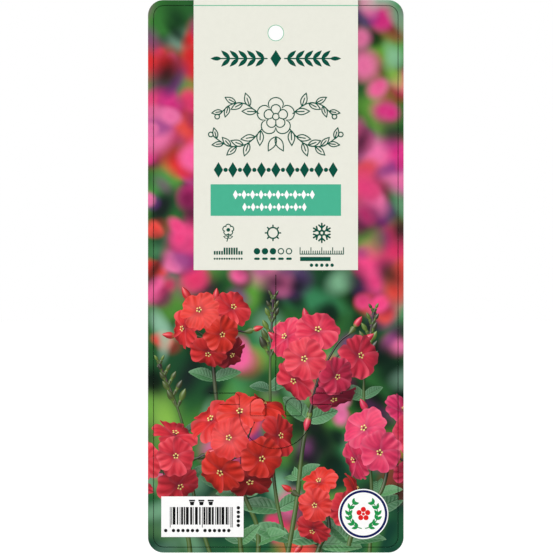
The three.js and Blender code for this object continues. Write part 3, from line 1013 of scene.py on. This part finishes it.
SCALE_TOP, SCALE_FOOT = 95.9, 98.6
MONTH_LEFT, MONTH_PITCH, MONTH_WIDTH, SHORT_MONTH = -24.0, 0.95, 0.68, 1.3
FIRST_MONTH, LAST_MONTH = 4, 9
MONTH_DOTS, MONTH_DOT = 100.2, 0.4
DROUGHT_DEPTH, DROUGHT_PITCH, DROUGHT_RADIUS, DROUGHT_PEN = 97.3, 3.1, 1.25, 0.42
DROUGHT_SPOTS, DROUGHT_FILLED = (-2, -1, 0, 1, 2), 3
DROUGHT_DASH, DASH_DEPTH, DASH_PEN = 1.3, 100.2, 0.9
COLD_LEFT, COLD_RIGHT, COLD_FOOT, COLD_TICKS, TICK_PEN = 9.4, 26.2, 98.4, 21, 0.36
COLD_BAR = (9.4, 21.2, 99.5, 101.1)
COLD_DOTS, COLD_DOT, COLD_DOT_PLACES = 102.7, 0.66, (-4, -2, 0, 2, 4)

parts = []
for month in range(12):
    left = MONTH_LEFT + month * MONTH_PITCH
    top = SCALE_TOP if FIRST_MONTH <= month <= LAST_MONTH else SCALE_TOP + SHORT_MONTH
    parts += [bar(left, left + MONTH_WIDTH, top, SCALE_FOOT)]
    parts += [disc((left + MONTH_WIDTH / 2, MONTH_DOTS), MONTH_DOT, 12)]
printed("month_marks", parts, dark_green_ink)

parts = []
for number, place in enumerate(DROUGHT_SPOTS):
    x = SUN[0] + DROUGHT_PITCH * place
    if number < DROUGHT_FILLED:
        parts += [disc((x, DROUGHT_DEPTH), DROUGHT_RADIUS, 24)]
    else:
        parts += [ring((x, DROUGHT_DEPTH), DROUGHT_RADIUS - DROUGHT_PEN / 2, DROUGHT_PEN, 24)]
    parts += [strip([(x - DROUGHT_DASH / 2, DASH_DEPTH), (x + DROUGHT_DASH / 2, DASH_DEPTH)], DASH_PEN)]
printed("drought_marks", parts, dark_green_ink)

parts = [strip([(COLD_LEFT, COLD_FOOT), (COLD_RIGHT, COLD_FOOT)], TICK_PEN), bar(*COLD_BAR)]
for number, x in enumerate(np.linspace(COLD_LEFT, COLD_RIGHT, COLD_TICKS)):
    top = SCALE_TOP if number % 5 == 0 else SCALE_TOP + SHORT_MONTH
    parts += [strip([(x, COLD_FOOT), (x, top)], TICK_PEN)]
parts += [disc((CRYSTAL[0] + place, COLD_DOTS), COLD_DOT, 16) for place in COLD_DOT_PLACES]
printed("cold_marks", parts, dark_green_ink)


# At the foot on the left is a white box with a bar pattern in black ink that codes nothing. Over it three
# little pots give the pot's size, and small dots stand below and beside the bars.

BOX = (-44.33, -12.48, 192.2, 207.9)
BARS_LEFT, BARS_RIGHT, BARS_TOP, BARS_FOOT, GUARD_FOOT = -41.0, -16.6, 196.3, 203.1, 204.2
BAR_UNIT, WIDEST_BAR, WIDEST_GAP, GOLDEN = 0.27, 4, 2, 0.618034
GUARD_WIDTH = 0.9
POT_MIDDLE, POT_PITCH = -28.8, 3.6
POT_RIM = (1.15, 193.5, 194.1)
POT_WALL = (0.9, 0.62, 194.25, 195.6)
CODE_DOT, DOTS_DEPTH, DOT_RUNS = 0.66, 205.4, [(-42.6, -42.6, 1), (-39.6, -30.4, 6), (-27.4, -18.2, 6)]
SIDE_DOTS_X, SIDE_DOTS = -14.5, (196.6, 203.4, 5)

black_ink = plastic("black_print", ink(12, 12, 14), mottle=0.06)
printed("code_box", [bar(*BOX)], white_ink, height=CARD_FACE)

parts, x, number = [], BARS_LEFT, 0
while x < BARS_RIGHT - BAR_UNIT:
    number += 1
    edge = min(x - BARS_LEFT, BARS_RIGHT - GUARD_WIDTH - x, abs(x - (BARS_LEFT + BARS_RIGHT) / 2))
    guard = edge < GUARD_WIDTH / 2
    width = BAR_UNIT * (1 if guard else 1 + int(WIDEST_BAR * (number * GOLDEN % 1)))
    gap = BAR_UNIT * (1 if guard else 1 + int(WIDEST_GAP * (number * number * GOLDEN % 1)))
    foot = GUARD_FOOT if guard else BARS_FOOT
    parts += [bar(x, min(x + width, BARS_RIGHT), BARS_TOP, foot)]
    x += width + gap
printed("code_bars", parts, black_ink)

parts = []
for middle in POT_MIDDLE + POT_PITCH * np.array([-1, 0, 1]):
    half, top, foot = POT_RIM
    parts += [bar(middle - half, middle + half, top, foot)]
    wide, narrow, top, foot = POT_WALL
    wall = [(-wide, top), (wide, top), (narrow, foot), (-narrow, foot)]
    parts += [plate(np.array(wall) + (middle, 0))]
spots = [(x, DOTS_DEPTH) for run in DOT_RUNS for x in np.linspace(*run)]
spots += [(SIDE_DOTS_X, depth) for depth in np.linspace(*SIDE_DOTS)]
parts += [disc(spot, CODE_DOT, 14) for spot in spots]
printed("code_marks", parts, black_ink)


# At the foot on the right is a white roundel, printed flat over the picture, with a dark ring round a green
# wreath and red berries.

SEAL, SEAL_RADIUS = np.array([33.9, 199.0]), 9.7
SEAL_RING, SEAL_RING_WIDTH = 8.8, 0.9
WREATH_RADIUS, WREATH_START, WREATH_END, WREATH_JOINTS = 5.6, 172, 32, (3, 7, 12, 16, 21, 26)
WREATH_PEN, WREATH_LEAF, WREATH_SPREAD = 0.35, (2.5, 1.15), 34
BERRY_REACH, SEAL_BERRY, SEAL_EYE = 1.75, 1.0, 0.6

red_ink = plastic("red_print", ink(226, 30, 32))
navy_ink = plastic("navy_print", ink(14, 24, 88), mottle=0.05)
leaf_ink = plastic("leaf_green_print", ink(26, 146, 72))
printed("seal", [disc(SEAL, SEAL_RADIUS, 96)], white_ink, height=CARD_FACE)
printed("seal_ring", [ring(SEAL, SEAL_RING, SEAL_RING_WIDTH, 96)], navy_ink, "black_print")


def arc(middle, radius, start, end, count=14):
    """Points on an arc between two turns in degrees, clockwise from straight up."""
    return np.array(middle) + radius * heading(np.radians(np.linspace(start, end, count)))


parts = []
for side in (-1, 1):
    branch = arc(SEAL, WREATH_RADIUS, side * WREATH_START, side * WREATH_END, 30)
    parts += [strip(branch, WREATH_PEN)]
    for place in WREATH_JOINTS:
        way = branch[place + 1] - branch[place]
        for lean in (WREATH_SPREAD, -WREATH_SPREAD):
            turn = np.degrees(np.arctan2(-way[1], way[0])) + lean
            parts += [plate(almond(branch[place], turn, *WREATH_LEAF))]
printed("seal_wreath", parts, leaf_ink, "teal_print")
middles = [spoke(SEAL, turn, 0, BERRY_REACH)[1] for turn in range(0, 360, 72)]
parts = [disc(middle, SEAL_BERRY, 24) for middle in middles] + [disc(SEAL, SEAL_EYE, 20)]
printed("seal_berries", parts, red_ink, "picture_print")


# A fine keyline is printed round the sheet inside its edge. Its clear dark ink darkens the picture under it,
# and across the card it is pale green.

KEYLINE_INSET, KEYLINE_RADIUS, KEYLINE_WIDTH, CARD_KEYLINE_WIDTH = 2.17, 4.0, 0.24, 0.36
KEYLINE_GAP, LINE_COVER = 0.1, 0.4

line_ink = plastic("overprint_line", ink(10, 24, 18))
wire(line_ink.node_tree, line_ink.node_tree.nodes["Principled BSDF"], Alpha=LINE_COVER)

corner_x = SHEET_RIGHT - KEYLINE_INSET - KEYLINE_RADIUS
corner_top = KEYLINE_INSET + KEYLINE_RADIUS
corner_foot = SHEET_TOP - SHEET_BOTTOM - KEYLINE_INSET - KEYLINE_RADIUS
half_path = np.concatenate([
    [(CARD_HALF + KEYLINE_GAP, KEYLINE_INSET)],
    arc((corner_x, corner_top), KEYLINE_RADIUS, 0, 90),
    arc((corner_x, corner_foot), KEYLINE_RADIUS, 90, 180),
])
whole_path = np.concatenate([half_path, half_path[::-1] * (-1, 1)])
printed("keyline", [strip(whole_path, KEYLINE_WIDTH)], line_ink, "cut_line", CARD_FACE)
top_path = [(-CARD_HALF, KEYLINE_INSET), (CARD_HALF, KEYLINE_INSET)]
printed("keyline_top", [strip(top_path, CARD_KEYLINE_WIDTH)], pale_green_ink, "teal_print")


# The tongue that pushes into the pot's rim is die-cut through the sheet: a slit down the middle, two cross
# cuts, the tongue's round outline and two small arches to knock out. A thin dark line marks each cut.

CUT_MARK_WIDTH = 0.3
SLIT_TOP, SLIT_BOTTOM = 106.5, 151.1
TONGUE_HALF, TONGUE_BEND = 14.1, 159.6
UPPER_DEPTH, UPPER_REACH, UPPER_RADIUS = 152.2, 25.9, 1.9
UPPER_BEND = (TONGUE_HALF + UPPER_RADIUS, UPPER_DEPTH + UPPER_RADIUS)
LOWER_DEPTH, LOWER_REACH = 156.6, 21.6
ARCH_ASIDE, ARCH_WIDTH, ARCH_TOP, ARCH_HEIGHT = 6.85, 6.1, 154.1, 6.9
ARCH_CORNER = 0.7

side_path = np.concatenate([
    [(UPPER_REACH, UPPER_DEPTH)],
    arc(UPPER_BEND, UPPER_RADIUS, 0, -90),
    arc((0, TONGUE_BEND), TONGUE_HALF, 90, 180, 30),
])
half = ARCH_WIDTH / 2
low = ARCH_TOP + ARCH_HEIGHT - ARCH_CORNER
knock_out = np.concatenate([
    arc((0, ARCH_TOP + half), half, -90, 90, 24),
    arc((half - ARCH_CORNER, low), ARCH_CORNER, 90, 180, 6),
    arc((ARCH_CORNER - half, low), ARCH_CORNER, 180, 270, 6),
])
parts = [strip(np.concatenate([side_path, side_path[-2::-1] * (-1, 1)]), CUT_MARK_WIDTH)]
parts += [strip([(0, SLIT_TOP), (0, SLIT_BOTTOM)], CUT_MARK_WIDTH)]
for side in (-1, 1):
    lower_path = [(side * TONGUE_HALF, LOWER_DEPTH), (side * LOWER_REACH, LOWER_DEPTH)]
    parts += [strip(lower_path, CUT_MARK_WIDTH)]
    parts += [strip(knock_out + (side * ARCH_ASIDE, 0), CUT_MARK_WIDTH, closed=True)]
printed("cut_marks", parts, line_ink, "cut_line", CARD_FACE)


# The stage is a plain pale floor that runs on into a white background. A soft overhead light evens out the
# floor, two wide lamps stand off to the sides as for copying a flat print, and the camera looks straight at
# the front.

FLOOR_GAP, FLOOR_SIZE, PALE = 30.0, 8.0, (0.9, 0.9, 0.9, 1)
PHOTO_SPAN, VIEW_OFFSET = 214.1, (0.27, -0.07)
LENS, SENSOR = 100.0, 36.0
OVERHEAD, OVERHEAD_WIDTH = 2.0, 20

# The white surroundings light the label at one strength and show in its gloss at another, and the camera
# sees them plain white.
AROUND, MIRRORED, PLAIN_WHITE = 0.5, 0.25, 1.0

# The wide lamps: how far aside, in front and up they stand, and their powers from left to right.
LAMP_SIZE, LAMP_PLACE, LAMP_TURN = 1.2, (1.2, 0.93, 0.35), (75, 52)
LAMP_POWERS = (5.75, 4.25)

bpy.ops.mesh.primitive_plane_add(size=FLOOR_SIZE, location=(0, 0, (SHEET_BOTTOM - FLOOR_GAP) * MM))
floor = bpy.context.object
floor.name = "floor"
floor_paint, tree, shader = new_material("pale_floor")
wire(tree, shader, Base_Color=PALE, Roughness=0.9, Specular_IOR_Level=0.0)
floor.data.materials.append(floor_paint)

world = bpy.data.worlds.new("studio")
world.use_nodes = True
tree = world.node_tree
rays = add_node(tree, "ShaderNodeLightPath")
mirrored = add_node(tree, "ShaderNodeMapRange", Value=rays["Is Glossy Ray"], To_Min=AROUND, To_Max=MIRRORED)
seen = add_node(tree, "ShaderNodeMapRange", Value=rays["Is Camera Ray"], To_Min=mirrored["Result"],
                To_Max=PLAIN_WHITE)
wire(tree, tree.nodes["Background"], Color=(1, 1, 1, 1), Strength=seen["Result"])
bpy.context.scene.world = world
bpy.context.scene.view_settings.view_transform = "Standard"


def stood(name, data, place, turn, **settings):
    """A lamp or camera at a place in metres, turned by angles in degrees, with settings of its own."""
    for setting, value in settings.items():
        setattr(data, setting, value)
    thing = placed(name, data)
    thing.location = place
    thing.rotation_euler = np.radians(turn)
    return thing


light = bpy.data.lights.new("overhead", "SUN")
stood("overhead", light, (0, 0, 2), (0, 0, 0), energy=OVERHEAD, angle=np.radians(OVERHEAD_WIDTH))
middle = (SHEET_TOP + SHEET_BOTTOM) / 2
for name, side, power in zip(("left_lamp", "right_lamp"), (-1, 1), LAMP_POWERS):
    aside, forward, up = LAMP_PLACE
    place, turn = (side * aside, -forward, middle * MM + up), (LAMP_TURN[0], 0, side * LAMP_TURN[1])
    light = bpy.data.lights.new(name, "AREA")
    stood(name, light, place, turn, energy=power, shape="SQUARE", size=LAMP_SIZE)

place = np.array([VIEW_OFFSET[0], PRINT_FACE - PHOTO_SPAN * LENS / SENSOR, middle + VIEW_OFFSET[1]]) * MM
camera = bpy.data.cameras.new("camera")
bpy.context.scene.camera = stood("camera", camera, place, (90, 0, 0), lens=LENS, sensor_width=SENSOR)
